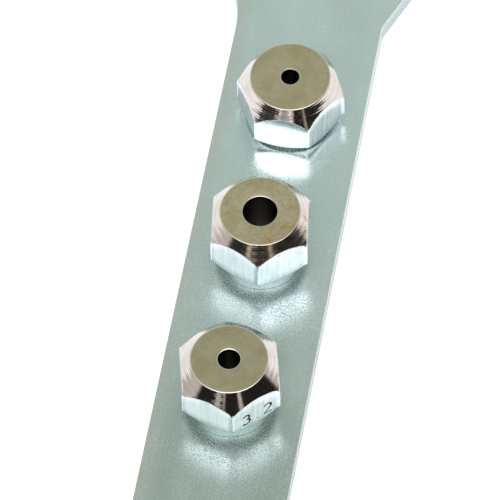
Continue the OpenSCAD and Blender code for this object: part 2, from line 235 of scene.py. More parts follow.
def curve_mesh(name, lines, cyclic=False, **settings):
    """The mesh of a curve with those settings through lines of (x, y, z)."""
    curve = bpy.data.curves.new(name, "CURVE")
    for key, value in settings.items():
        setattr(curve, key, value)
    for line in lines:
        spline = curve.splines.new("POLY")
        spline.points.add(len(line) - 1)
        for point, at in zip(spline.points, line):
            point.co = (*at, 1)
        spline.use_cyclic_u = cyclic
    bent = placed(name, curve)
    bpy.context.view_layer.update()
    mesh = bpy.data.meshes.new_from_object(bent)
    bpy.data.objects.remove(bent)
    return mesh


def reworked(mesh, work):
    """Lets work change the mesh as a bmesh."""
    shape = bmesh.new()
    shape.from_mesh(mesh)
    work(shape)
    shape.to_mesh(mesh)
    shape.free()


def weld(shape, distance=1e-6):
    bmesh.ops.remove_doubles(shape, verts=shape.verts, dist=distance)


def weld_outward(shape):
    weld(shape, 1e-7)
    bmesh.ops.recalc_face_normals(shape, faces=shape.faces)


def stamped(name, outline, holes, thickness, rounding, place):
    """A flat piece cut from sheet, its top at z = 0, with rounded edges all round."""
    loops = [[(x, y, 0) for x, y in loop] for loop in [outline] + holes]
    mesh = curve_mesh(name, loops, cyclic=True, dimensions="2D", fill_mode="BOTH", bevel_depth=rounding,
                      bevel_resolution=2, offset=-rounding, extrude=thickness / 2 - rounding)
    mesh.name = name
    mesh.transform(Matrix.Translation((0, 0, -thickness / 2)))
    reworked(mesh, weld)
    return smooth(placed(name, mesh, place))


def smooth(piece, angle=35):
    """Smooth shading, with edges sharper than the angle kept sharp."""
    for face in piece.data.polygons:
        face.use_smooth = True
    piece.data.set_sharp_from_angle(angle=math.radians(angle))
    even = piece.modifiers.new("even", "WEIGHTED_NORMAL")
    even.keep_sharp = True
    return piece


flank_x = head_radius * math.cos(neck_angle)
flank_y = head_at - head_radius * math.sin(neck_angle)
neck_at = flank_y - (flank_x - shank_width / 2) / math.tan(neck_angle)


def neck_side(side, radius, steps=14):
    """The fillet between the shank and the neck, on the left for side -1 and on the right for 1."""
    run = radius * math.tan(neck_angle / 2)
    turns = [i / steps * neck_angle for i in range(steps + 1)]
    return [(side * (shank_width / 2 + radius - radius * math.cos(a)), neck_at - run + radius * math.sin(a))
            for a in turns]


def in_jaw(x, y):
    """A point of the jaw's own frame on the plate."""
    return (x * math.cos(-jaw_turn) - y * math.sin(-jaw_turn),
            head_at + x * math.sin(-jaw_turn) + y * math.cos(-jaw_turn))


tilt, turn = math.degrees(neck_angle), math.degrees(jaw_turn)
throat = math.degrees(math.asin(jaw_width / 2 / head_radius))
tip = head_radius * math.cos(math.radians(throat))
jaw_inside = [in_jaw(x, y) for x, y in
              [(jaw_width / 2, tip)] + arc((0, 0), jaw_width / 2, 0, -180, 28) + [(-jaw_width / 2, tip)]]
outline = (arc((0, 0), shank_width / 2, 180, 360, 48) + neck_side(1, right_fillet)
           + arc((0, head_at), head_radius, -tilt, 90 - turn - throat, 36)[:-1] + jaw_inside
           + arc((0, head_at), head_radius, 90 - turn + throat, 180 + tilt, 48)[1:]
           + neck_side(-1, left_fillet)[::-1])
hang_radius, thread_hole_radius = 3 * mm, 4 * mm
holes = [arc((0, y), radius, 0, 357, 119)
         for y, radius in zip([0] + spare_at, [hang_radius] + [thread_hole_radius] * 3)]
spanner = stamped("spanner_plate", outline, holes, plate_thickness, edge_rounding, spanner_place)


def finish(name):
    """An empty material and the wire that its nodes hang on."""
    made = bpy.data.materials.new(name)
    made.use_nodes = True
    made.node_tree.nodes.clear()
    return made, Wire(made.node_tree)


def shader(made, wire, color, roughness, metallic=1.0, bumps=(), **constants):
    """Principled shader. bumps holds (height, depth in metres) pairs, the coarsest first."""
    normal = None
    for height_map, depth in bumps:
        sockets = {"Height": height_map, "Distance": depth, "Strength": 1.0}
        if normal:
            sockets["Normal"] = normal
        normal = wire.node("ShaderNodeBump", sockets=sockets)
    sockets = {"Base Color": color if isinstance(color, Wire) else (*color, 1), "Roughness": roughness,
               "Metallic": metallic, **constants}
    if normal:
        sockets["Normal"] = normal
    made_shader = wire.node("ShaderNodeBsdfPrincipled", sockets=sockets)
    output = made.node_tree.nodes.new("ShaderNodeOutputMaterial")
    made.node_tree.links.new(made_shader.socket, output.inputs["Surface"])
    return made


def stretched(wire, x, y, z):
    """Object coordinates in units of these lengths."""
    place = wire.node("ShaderNodeTexCoord", output=3)
    return wire.node("ShaderNodeVectorMath", {"operation": "MULTIPLY"}, {0: place, 1: (1 / x, 1 / y, 1 / z)})


def noise(wire, place, detail=3.0, rough=0.5):
    return wire.node("ShaderNodeTexNoise", sockets={"Vector": place, "Scale": 1.0, "Detail": detail,
                                                    "Roughness": rough})


def even_noise(wire, size, detail=3.0, rough=0.5):
    """Noise with grains of about that size every way."""
    return noise(wire, stretched(wire, size, size, size), detail, rough)


def plate_finish():
    """Brushed along the shank, bluer towards the head, frosted by wear at the other end, with a warm left
    edge and a matt, paler side where the punch tore through."""
    made, wire = finish("blue_zinc_plate")
    place = wire.node("ShaderNodeTexCoord", output=3)
    x, y, z = (place.dot(axis) for axis in ((1 / mm, 0, 0), (0, 1 / mm, 0), (0, 0, 1 / mm)))
    lines = noise(wire, stretched(wire, 0.09 * mm, 9 * mm, 1 * mm), 4, 0.6)
    hairs = noise(wire, stretched(wire, 0.05 * mm, 2.2 * mm, 1 * mm), 2, 0.7).rise(0.66, 0.74)
    grit = noise(wire, stretched(wire, 0.11 * mm, 0.13 * mm, 0.11 * mm), 2, 0.6)
    cloud = noise(wire, stretched(wire, 5 * mm, 14 * mm, 6 * mm), 4, 0.55)
    side = noise(wire, stretched(wire, 0.2 * mm, 0.2 * mm, 2.5 * mm), 3, 0.7)
    left_band = (x + (cloud - 0.5) * 3).rise(-5.6, -7.6)
    headward = (y * 0.02 + cloud - 0.85).rise(0.0, 1.0)
    color = headward.mix((0.43, 0.50, 0.45), (0.65, 0.75, 0.72))
    color = (cloud.rise(0.35, 0.7) * 0.6).mix(color, (0.57, 0.64, 0.60))
    color = (left_band * 0.55).mix(color, (0.62, 0.60, 0.55))
    color = (lines.rise(0.5, 0.75) * 0.3).mix(color, (0.74, 0.82, 0.78))
    color = (grit.rise(0.6, 0.74) * 0.35).mix(color, (0.38, 0.43, 0.41))
    color = (hairs * 0.25).mix(color, (0.85, 0.9, 0.88))
    sheared = z.band(-2.3, -0.25, 0.08)
    color = (sheared * 0.9).mix(color, (0.43, 0.51, 0.56))
    frost = noise(wire, stretched(wire, 0.2 * mm, 0.22 * mm, 0.2 * mm), 3, 0.65).rise(0.42, 0.64)
    matt = even_noise(wire, 3.5 * mm, 3).rise(0.4, 0.6)
    worn = y.rise(57, 48)
    roughness = (lines * 0.06 + frost * (matt * 0.2 + 0.06) + worn * (frost * 0.12 + 0.05) + 0.12
                 + z.rise(-0.9, -1.1) * side * 0.3)
    return shader(made, wire, color, roughness, metallic=0.88,
                  bumps=[(cloud, 0.02 * mm), (lines, 0.002 * mm), (grit, 0.004 * mm)])


spanner.data.materials.append(plate_finish())
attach(spanner, "spanner")
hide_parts("spanner")

# The nosepieces are turned from 10 mm hexagon bar, with a coned top, a collar that seats on the
# casting, an M8 thread and a short tail. Each is stamped with its rivet size on one flat and plated.
hexagon_half, corner_rounding, underside_cut = 5 * mm, 0.22 * mm, 0.85 * mm
thread_radius, thread_depth, thread_pitch, thread_length = 3.95 * mm, 0.55 * mm, 1.0 * mm, 4.2 * mm
thread_end, neck_radius = -0.35 * mm, thread_radius - 0.25 * mm
collar_radius, collar_chamfer = 4.5 * mm, 0.04 * mm
tail_radius, tail_length, tail_chamfer = 2.7 * mm, 1.1 * mm, 0.3 * mm
flat_edge, cone_edge, face_edge, bore_edge = 0.06 * mm, 0.05 * mm, 0.04 * mm, 0.13 * mm


def hexagon_columns():
    """Angles round the hexagon, corners first, and the radius of its rounded outline at each."""
    inner = (hexagon_half - corner_rounding) / math.cos(math.radians(30))
    edge = math.atan(math.tan(math.radians(30)) * (hexagon_half - corner_rounding) / hexagon_half)
    slack = math.radians(30) - edge
    swing = [slack * i / 3 for i in range(-3, 4)] + [slack + (math.radians(60) - 2 * slack) * i / 24
                                                    for i in range(1, 24)]
    angles, radii = [], []
    for corner in range(6):
        for a in swing:
            angles.append(a + math.radians(60) * corner)
            if abs(a) < slack - 1e-9:
                radii.append(inner * math.cos(a) + math.sqrt(corner_rounding**2 - (inner * math.sin(a))**2))
            else:
                radii.append(hexagon_half / math.cos(a - math.radians(30)))
    return np.array(angles), np.array(radii)


def ring_surface(name, rings, slots, place):
    """Closed skin over rings of points, the last joined to the first. slots gives each strip's finish."""
    count, columns = len(rings), len(rings[0])
    faces = [(a * columns + i, a * columns + (i + 1) % columns,
              (a + 1) % count * columns + (i + 1) % columns, (a + 1) % count * columns + i)
             for a in range(count) for i in range(columns)]
    mesh = bpy.data.meshes.new(name)
    mesh.from_pydata(np.concatenate(rings).tolist(), [], faces)
    mesh.polygons.foreach_set("material_index", np.repeat(slots, columns).astype(np.int32))
    return placed(name, mesh, place)


def nosepiece_finishes(name, face, tone, stain):
    """Zinc on the flats, a mirror-turned cone, an olive face with fine lathe rings, a bore painted near-black as
    shade.
    The face is paler as tone goes up, stain is how much of the +X -Y quarter has gone brown."""
    def polar(wire):
        place = wire.node("ShaderNodeTexCoord", output=3)
        x, y = place.dot((1 / mm, 0, 0)), place.dot((0, 1 / mm, 0))
        return place, (x * x + y * y).math("SQRT")

    def rings(wire, radius, step, drift):
        wander = even_noise(wire, 2 * mm, 2) * drift
        return (radius * (2 * math.pi / step) + wander).math("SINE") * 0.5 + 0.5

    def browned(wire, place, color):
        mottle = even_noise(wire, 0.7 * mm, 4, 0.7)
        side = place.dot((0.1 / mm, -1.0 / mm, 0)).rise(0.5, 4.5)
        color = (side * mottle.rise(0.42, 0.62) * stain).mix(color, (0.55, 0.33, 0.19))
        return (side * mottle.rise(0.60, 0.68) * stain * 0.8).mix(color, (0.22, 0.17, 0.11))

    made_all = []
    made, wire = finish(name + "_flats")
    grain = noise(wire, stretched(wire, 0.35 * mm, 0.35 * mm, 5 * mm), 3, 0.6)
    spots = noise(wire, stretched(wire, 0.22 * mm, 0.22 * mm, 0.3 * mm), 2)
    color = grain.rise(0.35, 0.7).mix((0.70, 0.75, 0.82), (0.86, 0.89, 0.94))
    color = (spots.rise(0.66, 0.78) * 0.5).mix(color, (0.42, 0.40, 0.34))
    made_all.append(shader(made, wire, color, grain * 0.14 + 0.16, bumps=[(grain, 0.003 * mm)]))

    made, wire = finish(name + "_cone")
    place, radius = polar(wire)
    fine, coarse = rings(wire, radius, 0.16, 2.0), rings(wire, radius, 0.47, 4.0)
    blotch = even_noise(wire, 1.8 * mm, 3)
    color = blotch.rise(0.4, 0.7).mix((0.68, 0.63, 0.605), (0.60, 0.56, 0.53))
    color = (coarse * fine * 0.5).mix(color, (0.46, 0.42, 0.38))
    color = browned(wire, place, color)
    made_all.append(shader(made, wire, color, fine * 0.05 + blotch * 0.05 + stain * 0.08 + 0.03,
                           bumps=[(coarse, 0.005 * mm), (fine, 0.002 * mm)]))

    made, wire = finish(name + "_face")
    place, radius = polar(wire)
    fine, coarse = rings(wire, radius, 0.12, 3.0), rings(wire, radius, 0.42, 5.0)
    blotch = even_noise(wire, 1.5 * mm, 4, 0.6)
    color = blotch.rise(0.35, 0.65).mix([tone * part for part in (0.53, 0.435, 0.25)],
                                        [tone * part for part in (0.61, 0.51, 0.33)])
    color = (coarse * 0.15).mix(color, (0.66, 0.58, 0.42))
    speckle = even_noise(wire, 0.3 * mm, 3, 0.7)
    color = (speckle.rise(0.45, 0.65) * (stain * 0.45 + 0.06)).mix(color, (0.36, 0.28, 0.17))
    color = browned(wire, place, color)
    # A pale ring is painted along the face's outer edge: a painted highlight where the edge catches the light.
    rim = radius.rise(face / mm - 0.16, face / mm - 0.02)
    color = (rim * 0.6).mix(color, (0.86, 0.83, 0.74))
    made_all.append(shader(made, wire, color, fine * 0.08 + blotch * 0.08 + 0.2,
                           bumps=[(coarse, 0.003 * mm), (fine, 0.0015 * mm)]))

    # The bore is painted near-black: painted shade inside the hole, over real drill rings.
    made, wire = finish(name + "_bore")
    height = wire.node("ShaderNodeTexCoord", output=3).dot((0, 0, 1 / mm))
    drill = rings(wire, height, 0.2, 2.0)
    mouth = drill.mix((0.05, 0.04, 0.03), (0.10, 0.085, 0.065))
    made_all.append(shader(made, wire, mouth, drill * 0.15 + 0.25, bumps=[(drill, 0.004 * mm)]))

    # The collar is tinted the plate's teal: a painted reflection of the plate round it, over real lathe marks.
    made, wire = finish(name + "_collar")
    height = wire.node("ShaderNodeTexCoord", output=3).dot((0, 0, 1 / mm))
    marks = rings(wire, height, 0.15, 1.0)
    made_all.append(shader(made, wire, marks.mix((0.30, 0.37, 0.37), (0.44, 0.52, 0.52)),
                           marks * 0.08 + 0.15, bumps=[(marks, 0.002 * mm)]))
    return made_all


def nosepiece(name, bore, collar, hexagon, cone, face, place, number, flat, tone, stain):
    """A nosepiece standing on z = 0, built as rings from the tail up, over the face and down the bore.
    The number is stamped on the flat that many steps on."""
    angles, radii = hexagon_columns()
    base, top = collar, collar + hexagon + cone
    corner = hexagon_half / math.cos(math.radians(30))
    under = corner - underside_cut
    slope = cone / (corner - face)
    rows, slots = [], []

    def row(radius, height, slot):
        radius = radius + 0 * angles
        rows.append(np.stack([radius * np.cos(angles), radius * np.sin(angles), height + 0 * angles], 1))
        slots.append(slot)

    lowest = -thread_length - tail_length
    row(bore + 0.2 * mm, lowest, 0)
    row(tail_radius - tail_chamfer, lowest, 0)
    row(tail_radius, lowest + tail_chamfer, 0)
    row(tail_radius, -thread_length, 0)
    for height in np.arange(-thread_length, thread_end, thread_pitch / 10):
        phase = np.mod(height / thread_pitch - angles / (2 * math.pi), 1)
        groove = np.clip(np.abs(phase - 0.5) * 2.6 - 0.3, 0, 1)
        fade = np.clip(min((height + thread_length) / (0.8 * mm), (thread_end - height) / (0.5 * mm)), 0, 1)
        lead = max(0.0, 1 - (height + thread_length) / (0.5 * mm)) * 0.5 * mm
        row(np.minimum(thread_radius - thread_depth * (1 - groove) * (0.25 + 0.75 * fade),
                       thread_radius - lead), height, 0)
    row(neck_radius, -0.2 * mm, 0)
    row(neck_radius, 0, 0)
    row(collar_radius - collar_chamfer, 0, 4)
    row(collar_radius, collar_chamfer, 4)
    row(collar_radius, base - 0.1 * mm, 4)
    row(collar_radius - 0.05 * mm, base, 0)
    start = np.minimum(radii, under)
    lift = (radii - start) * 0.85
    row(start - 0.05 * mm, base, 0)
    row(start, base + 0.02 * mm, 0)
    row(radii - 0.02 * mm * (lift > 0), base + lift, 0)
    row(radii, base + lift + flat_edge, 0)
    edge = top - cone + np.minimum(cone, (corner - radii) * slope)
    for share in (0.25, 0.5, 0.75):
        row(radii, base + lift + flat_edge + (edge - base - lift - 2 * flat_edge) * share, 0)
    row(radii, edge - flat_edge, 0)
    row(radii - 0.012 * mm, edge - 0.015 * mm, 1)
    row(radii - cone_edge, edge + cone_edge * slope, 1)
    for share in (0.04, 0.5, 0.96):
        row((radii - cone_edge) * (1 - share) + (face + face_edge) * share,
            (edge + cone_edge * slope) * (1 - share) + (top - face_edge * slope) * share, 1)
    row(face + face_edge, top - face_edge * slope, 1)
    row(face + 0.01 * mm, top - 0.015 * mm, 2)
    row(face - face_edge, top, 2)
    for share in (0.3, 0.65):
        row((face - face_edge) * (1 - share) + (bore + bore_edge) * share, top, 2)
    row(bore + bore_edge, top, 1)
    row(bore + 0.03 * mm, top - 0.05 * mm, 1)
    row(bore, top - bore_edge, 3)
    row(bore, top - 0.5 * mm, 3)
    row(bore, top - 3 * mm, 3)
    row(bore, lowest + 1.5 * mm, 3)
    row(bore, lowest + 0.2 * mm, 3)
    piece = ring_surface(name, rows, slots, place)
    for made in nosepiece_finishes(name, face, tone, stain):
        piece.data.materials.append(made)
    smooth(stamp_number(piece, number, flat, base + hexagon * 0.47), 42)
    return piece


def digit_strokes(digit):
    """Lines of a stamped figure one unit high, drawn about its middle."""
    return {"0": [[(0.27 * math.cos(a), 0.5 * math.sin(a)) for a in np.linspace(0, 2 * math.pi, 25)]],
            "2": [arc((0, 0.24), 0.26, 160, -35, 12) + [(-0.27, -0.5), (0.28, -0.5)]],
            "3": [arc((0, 0.26), 0.24, 150, -80, 12), arc((0, -0.22), 0.28, 85, -150, 14)],
            "4": [[(0.12, -0.5), (0.12, 0.5), (-0.28, -0.18), (0.3, -0.18)]],
            "8": [arc((0, 0.26), 0.22, 0, 360, 20), arc((0, -0.23), 0.27, 0, 360, 22)],
            ".": [[(-0.04, -0.46), (0.04, -0.44)]]}[digit]


def split_wide_faces(shape):
    bmesh.ops.triangulate(shape, faces=[face for face in shape.faces if len(face.verts) > 4])


def stamp_number(piece, number, flat, height):
    """Presses a rivet size into one of the hexagon's flats, as round-bottomed grooves."""
    figure_height, spacing, groove_depth = 1.65 * mm, 1.32 * mm, 0.125 * mm
    strokes = [[(x * figure_height + (i - 1) * spacing, y * figure_height, 0) for x, y in line]
               for i, figure in enumerate(number) for line in digit_strokes(figure)]
    tubes = curve_mesh("number", strokes, dimensions="3D", bevel_depth=groove_depth, bevel_resolution=2,
                       use_fill_caps=True)
    # The stamped figures take the bore's near-black finish: painted shade in their grooves.
    tubes.materials.append(piece.data.materials[3])
    facing = math.radians(30 + 60 * flat)
    out = Vector((math.cos(facing), math.sin(facing), 0))
    turned = Matrix(((-out).cross(Vector((0, 0, 1))), (0, 0, 1), out)).transposed().to_4x4()
    turned.translation = out * hexagon_half + Vector((0, 0, height))
    punch = placed("punch", tubes, piece.matrix_world @ turned)
    cut = piece.modifiers.new("number", "BOOLEAN")
    cut.operation, cut.solver, cut.object, cut.use_self = "DIFFERENCE", "EXACT", punch, True
    bpy.context.view_layer.update()
    cut_mesh = bpy.data.meshes.new_from_object(piece.evaluated_get(bpy.context.evaluated_depsgraph_get()))
    piece.modifiers.clear()
    piece.data = cut_mesh
    bpy.data.objects.remove(punch)
    reworked(cut_mesh, split_wide_faces)
    return piece


def spare(size, bore, collar, hexagon, cone, face, turned, flat, tone, stain):
    """A spare just above its hole, with sizes in mm, turned by degrees from the shank's right side."""
    heading, seat_gap = math.atan2(shank_side.y, shank_side.x), 0.01 * mm
    place = (Matrix.Translation(joint_point(f"nosepiece_{size}_turn"))
             @ Matrix.Rotation(math.radians(turned) + heading, 4, "Z")
             @ Matrix.Translation((0, 0, seat_gap)))
    piece = nosepiece("spare_nosepiece_" + size, bore / 2 * mm, collar * mm, hexagon * mm, cone * mm,
                      face * mm, place, size[0] + "." + size[1], flat, tone, stain)
    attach(piece, "nosepiece_" + size)
    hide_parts("nosepiece_" + size)


spare("24", bore=1.9, collar=0.5, hexagon=3.8, cone=2.4, face=4.25, turned=59.4, flat=1, tone=0.95, stain=0.1)
spare("48", bore=3.6, collar=2.1, hexagon=4.1, cone=2.0, face=4.2, turned=37.7, flat=1, tone=1.05, stain=0.9)
spare("32", bore=2.3, collar=2.3, hexagon=3.7, cone=2.1, face=4.0, turned=43.9, flat=4, tone=0.85, stain=0.0)

# The head is one aluminium casting: the barrel round the jaws, a cheek on each side of the lever's
# pivot, and the stem that the fixed handle slides onto. It is enamelled black before the nose is faced.
bodies = frame["record"]["behaviour"]["bodies"]
body_of_node = {node: body for body, nodes in bodies.items() for node in nodes}


def dress(piece, node, made=None):
    """The piece stands for the node, on its body, in that finish in place of its own if one is given."""
    if made:
        piece.data.materials.clear()
        piece.data.materials.append(made)
    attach(piece, body_of_node[node])
    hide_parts(node)


def merge_flats(shape):
    weld(shape)
    bmesh.ops.dissolve_limit(shape, angle_limit=math.radians(1), verts=shape.verts, edges=shape.edges)


def softened(name, node, rounding, angle=25):
    """A node's shape with every hard edge rounded off."""
    mesh = frame["nodes"][node].data.copy()
    mesh.name = name
    piece = placed(name, mesh)
    reworked(mesh, merge_flats)
    round_off = piece.modifiers.new("round_off", "BEVEL")
    round_off.width, round_off.segments, round_off.limit_method = rounding, 3, "ANGLE"
    round_off.angle_limit, round_off.miter_outer = math.radians(angle), "MITER_ARC"
    return smooth(piece, 40)


def enamel_finish():
    """Sand-cast skin under black enamel, chipped here and there, with the nose faced bright."""
    made, wire = finish("black_enamel")
    x = wire.node("ShaderNodeTexCoord", output=3).dot((1 / mm, 0, 0))
    sand = even_noise(wire, 0.9 * mm, 4, 0.6)
    peel = even_noise(wire, 0.35 * mm, 2)
    patch = even_noise(wire, 7 * mm, 5, 0.65)
    chips = patch.rise(0.69, 0.71) * even_noise(wire, 1.5 * mm).rise(0.5, 0.56)
    faced = x.rise(-6.5, -6.2)
    bare = chips.math("MAXIMUM", faced)
    color = bare.mix(patch.mix((0.012, 0.013, 0.015), (0.028, 0.029, 0.032)), (0.55, 0.55, 0.54))
    return shader(made, wire, color, sand * 0.12 + 0.28 + faced * -0.1, bare,
                  [(sand, 0.05 * mm), (peel, 0.012 * mm), (chips, -0.03 * mm)])


dress(softened("head_casting", "head", 0.55 * mm), "head", enamel_finish())


# Both handles are 2 mm steel pressed into a U, bright zinc plated. The fixed one is riveted to the
# casting's tongue, the lever's cheeks run on past the pivot to the two prongs that pull the sleeve.
def pressed_finish(name):
    """Zinc plate with a grain along the handle, spotted where it has dulled."""
    made, wire = finish(name)
    grain = noise(wire, stretched(wire, 0.12 * mm, 6 * mm, 0.12 * mm), 4, 0.6)
    cloud = noise(wire, stretched(wire, 9 * mm, 14 * mm, 9 * mm), 4, 0.6)
    spots = even_noise(wire, 0.5 * mm, 3, 0.7)
    color = cloud.rise(0.35, 0.7).mix((0.52, 0.55, 0.56), (0.66, 0.68, 0.68))
    color = (grain.rise(0.5, 0.8) * 0.3).mix(color, (0.80, 0.81, 0.80))
    color = (spots.rise(0.68, 0.76) * 0.5).mix(color, (0.34, 0.33, 0.30))
    return shader(made, wire, color, grain * 0.14 + cloud * 0.1 + 0.2,
                  bumps=[(cloud, 0.02 * mm), (grain, 0.004 * mm)])


dress(softened("fixed_handle_channel", "fixed_handle", 0.45 * mm), "fixed_handle",
      pressed_finish("zinc_pressing_fixed"))
dress(softened("lever_pressing", "lever", 0.4 * mm), "lever",
      pressed_finish("zinc_pressing_lever"))


# Two solid rivets of mild steel join the fixed handle to the casting. They go through both cheeks and
# the tongue, and each is closed with a domed head on both sides.
def turned_piece(name, profile, places, columns=96, ripple=None):
    """Solids of revolution about the Z of each place, from one closed profile of (height, radius)."""
    angles = np.linspace(0, 2 * math.pi, columns, endpoint=False)
    whole = bmesh.new()
    for place in places:
        rows = []
        for height, radius in profile:
            around = radius + (ripple(angles, height, radius) if ripple else 0) + 0 * angles
            rows.append(np.stack([around * np.cos(angles), around * np.sin(angles), height + 0 * angles], 1))
        part = ring_surface(name, rows, [0] * len(rows), place)
        part.data.transform(part.matrix_world)
        whole.from_mesh(part.data)
        bpy.data.objects.remove(part)
    weld_outward(whole)
    mesh = bpy.data.meshes.new(name)
    whole.to_mesh(mesh)
    whole.free()
    return smooth(placed(name, mesh))


def bright_finish(name, tint=(0.72, 0.72, 0.70), dull=0.2):
    """Bare or oiled steel, scuffed darker in clouds."""
    made, wire = finish(name)
    scuff = even_noise(wire, 0.7 * mm, 5, 0.7)
    fine = even_noise(wire, 0.12 * mm, 2)
    color = scuff.rise(0.42, 0.62).mix(tint, tuple(0.6 * part for part in tint))
    return shader(made, wire, color, scuff * 0.2 + dull, bumps=[(scuff, 0.01 * mm), (fine, 0.002 * mm)])


handle_low, handle_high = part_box("fixed_handle")
stem_x = (handle_low.x + handle_high.x) / 2
rivet_low, rivet_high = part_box("handle_rivets")
rivet_radius, rivet_head, cheek_z = 2.45 * mm, 4.2 * mm, handle_high.z
rim_z = cheek_z + 0.12 * mm
dome = [(cheek_z, rivet_head - 0.15 * mm), (rim_z, rivet_head)]
dome += [(rim_z + (rivet_high.z - rim_z) * math.sin(a), rivet_head * math.cos(a))
         for a in np.linspace(0.12, 1.45, 9)]
dome += [(rivet_high.z, 0.05 * mm)]
rivet = [(-h, r) for h, r in dome[::-1]] + [(-cheek_z, rivet_radius), (cheek_z, rivet_radius)] + dome
rivet_places = [Matrix.Translation((stem_x, y, 0))
                for y in (rivet_high.y - rivet_head, rivet_low.y + rivet_head)]
dress(turned_piece("handle_rivet_pair", rivet, rivet_places),
      "handle_rivets", bright_finish("rivet_steel"))

# Black vinyl sleeves, warmed and pushed over the channels. A finger guard swells at the top and
# shallow ribs run round the part that the hand closes on.
grip_width, grip_depth, grip_corner, guard_swell, guard_length = 21 * mm, 26 * mm, 6 * mm, 2.5 * mm, 5 * mm
channel_width, channel_depth = 13.1 * mm, handle_high.z * 2 + 0.1 * mm


def rounded_loop(width, depth, corner, count=18):
    """Points round a rectangle with round corners, the same number whatever its size."""
    loop = []
    for i, (sx, sz) in enumerate(((1, 1), (-1, 1), (-1, -1), (1, -1))):
        centre = (sx * (width / 2 - corner), sz * (depth / 2 - corner))
        loop += arc(centre, corner, 90 * i, 90 * i + 90, count)
    return np.array(loop)


def grip(name, place, length):
    """A sleeve hanging from its place along -Y: the guard, the ribs, the rounded end."""
    rings = []

    def ring(t, width, depth, corner):
        loop = rounded_loop(width, depth, corner)
        rings.append(np.stack([loop[:, 0], 0 * loop[:, 0] - t, loop[:, 1]], 1))

    wide, inner_corner = grip_width + 2 * guard_swell, 0.4 * mm
    top_round, end_round = 1.6 * mm, 3 * mm
    ring(0.3 * mm, channel_width, channel_depth, inner_corner)
    for a in np.linspace(0, math.pi / 2, 7):
        cut = top_round * (1 - math.sin(a))
        ring(top_round * (1 - math.cos(a)), wide - 2 * cut, grip_depth - 1.2 * cut, grip_corner - cut * 0.6)
    swell_from, swell_run = guard_length - 2 * mm, 6 * mm
    ring(swell_from, wide, grip_depth, grip_corner)
    for share in np.linspace(0, 1, 9):
        ease = share * share * (3 - 2 * share)
        ring(swell_from + share * swell_run, wide - 2 * guard_swell * ease, grip_depth, grip_corner)
    ribs_from, ribs_margin, pitch, groove = 16 * mm, 34 * mm, 4.5 * mm, 0.55 * mm
    for i in range(int((length - ribs_margin) / pitch)):
        for share in np.linspace(0, 1, 9):
            wave = math.sin(math.pi * (share * 2 - 0.5)) * 0.5 + 0.5
            dip = groove * wave if 0.25 < share < 0.75 else 0
            ring(ribs_from + (i + share) * pitch, grip_width - 2 * dip, grip_depth - dip, grip_corner)
    end = length - end_round
    ring(end - 6 * mm, grip_width, grip_depth, grip_corner)
    for a in np.linspace(0, math.pi / 2, 8):
        cut = end_round * (1 - math.cos(a))
        ring(end + end_round * math.sin(a), grip_width - 1.6 * cut, grip_depth - 1.2 * cut,
             grip_corner - cut * 0.7)
    ring(length, channel_width + 1 * mm, channel_depth + 1 * mm, 1 * mm)
    ring(length - 0.5 * mm, channel_width, channel_depth, inner_corner)
    piece = ring_surface(name, rings, [0] * len(rings), place)
    reworked(piece.data, weld_outward)
    return smooth(piece)


def vinyl_finish():
    """Matt black with a leather grain and dust in it."""
    made, wire = finish("black_vinyl")
    leather = wire.node("ShaderNodeTexVoronoi", {"feature": "DISTANCE_TO_EDGE"},
                        {"Vector": stretched(wire, 0.8 * mm, 0.8 * mm, 0.8 * mm), "Scale": 1.0})
    creases = leather.rise(0.0, 0.12)
    haze = even_noise(wire, 11 * mm, 4, 0.6)
    dust = even_noise(wire, 0.25 * mm, 3, 0.7).rise(0.62, 0.8)
    color = haze.mix((0.020, 0.020, 0.021), (0.040, 0.039, 0.038))
    color = (dust * 0.35).mix(color, (0.13, 0.125, 0.12))
    return shader(made, wire, color, haze * 0.15 + dust * 0.15 + 0.42, 0.0, [(creases, 0.05 * mm)])


vinyl = vinyl_finish()
grip_end, grip_top = (corner.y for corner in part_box("fixed_grip"))
grip_length = grip_top - grip_end
dress(grip("fixed_grip_sleeve", Matrix.Translation((stem_x, grip_top, 0)), grip_length),
      "fixed_grip", vinyl)
pivot = joint_point("lever_hinge")
lever_open = math.radians(joints["lever_hinge"]["range_deg"][1])
lever_place = Matrix.Translation(pivot) @ Matrix.Rotation(-lever_open, 4, "Z")
handle_end, lip_length, lip_gap = handle_low.y, 18 * mm, 7 * mm
lever_grip_top = handle_end - pivot.y + lip_length + lip_gap + grip_length
dress(grip("lever_grip_sleeve", lever_place @ Matrix.Translation((0, lever_grip_top, 0)), grip_length),
      "lever_grip", vinyl)

# The lever turns on a headed pin of turned steel through both of the casting's cheeks. A horseshoe
# clip, punched from blacked spring steel, snaps into the pin's groove and keeps it there.
pin_low, pin_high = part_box("pivot_pin")
clip_low, clip_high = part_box("pivot_clip")
pin_radius, pin_head, head_height = 2.95 * mm, 5.3 * mm, 1.1 * mm
pin_chamfer, pin_core = 0.15 * mm, 0.02 * mm
groove_radius, groove_gap = pin_radius - 0.55 * mm, 0.03 * mm
pin_profile = [(pin_low.z, pin_core), (pin_low.z, pin_head - 1.0 * mm),
               (pin_low.z + 0.25 * mm, pin_head - 0.35 * mm), (pin_low.z + 0.5 * mm, pin_head),
               (pin_low.z + head_height, pin_head), (pin_low.z + head_height, pin_radius),
               (clip_low.z - groove_gap, pin_radius), (clip_low.z - groove_gap, groove_radius),
               (clip_high.z + groove_gap, groove_radius), (clip_high.z + groove_gap, pin_radius),
               (pin_high.z - pin_chamfer, pin_radius), (pin_high.z, pin_radius - pin_chamfer),
               (pin_high.z, pin_core)]
dress(turned_piece("lever_pivot_pin", pin_profile, [Matrix.Translation((pivot.x, pivot.y, 0))]),
      "pivot_pin", bright_finish("pin_steel"))
clip_outer, clip_inner, mouth = 5.1 * mm, pin_radius - 0.52 * mm, 22
clip_shoulder, nip = clip_outer - 0.9 * mm, 2.1 * mouth
